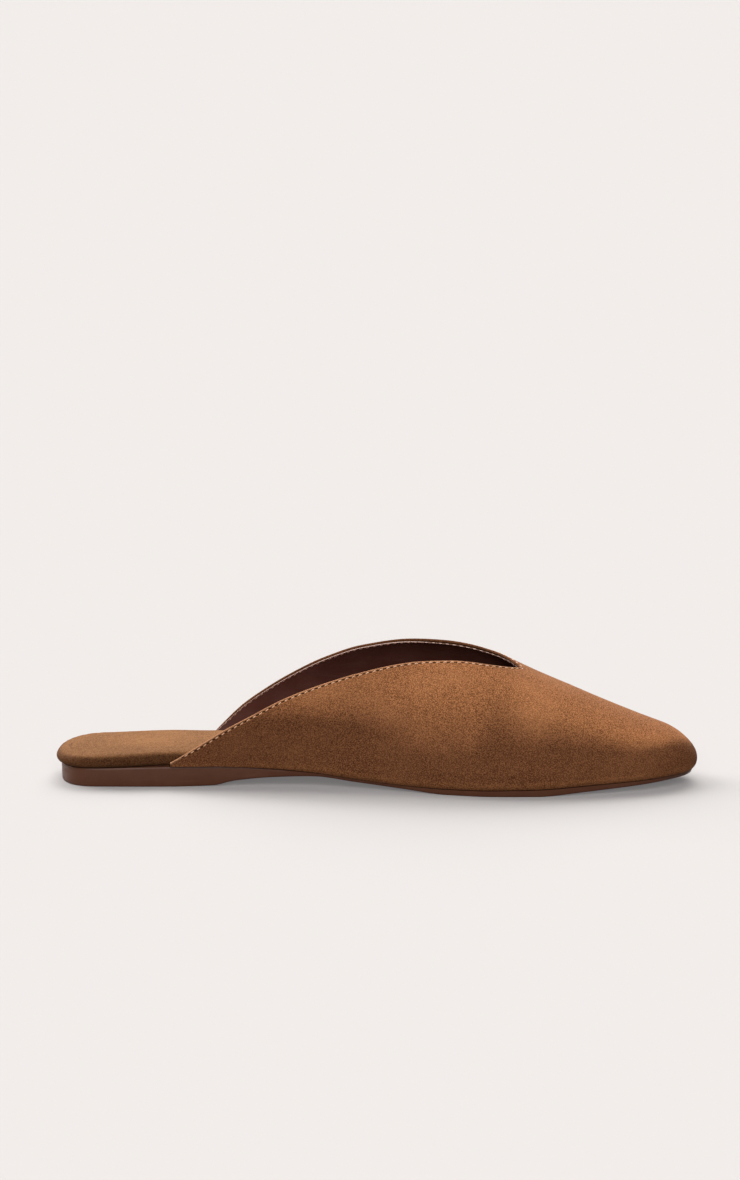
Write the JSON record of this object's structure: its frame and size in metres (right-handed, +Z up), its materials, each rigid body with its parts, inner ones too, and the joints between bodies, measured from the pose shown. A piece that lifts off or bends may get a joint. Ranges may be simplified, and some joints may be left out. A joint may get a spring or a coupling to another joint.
{
  "type": "mule shoe",
  "caption": "Flat backless mule for the left foot: closed almond toe, V-cut topline, padded footbed and moulded unit sole with a low heel.",
  "frame": {"origin": "middle of the shoe's box in plan, on the floor", "axes": "+X to the toe along the foot, +Y to the outer (lateral) side of the left foot, +Z up"},
  "size_m": [0.255, 0.0796, 0.0533],
  "materials": {
    "sole": "moulded dark brown, satin",
    "footbed": "tan suede over foam padding, fine nap",
    "upper": "brown suede with a fine short nap outside, smooth dark lining inside",
    "lining": "smooth dark brown lining, light raw edge",
    "thread": "tan sewing thread"
  },
  "bodies": {
    "root": {"outsole": "sole", "insole": "footbed", "upper": "upper"}
  },
  "joints": []
}
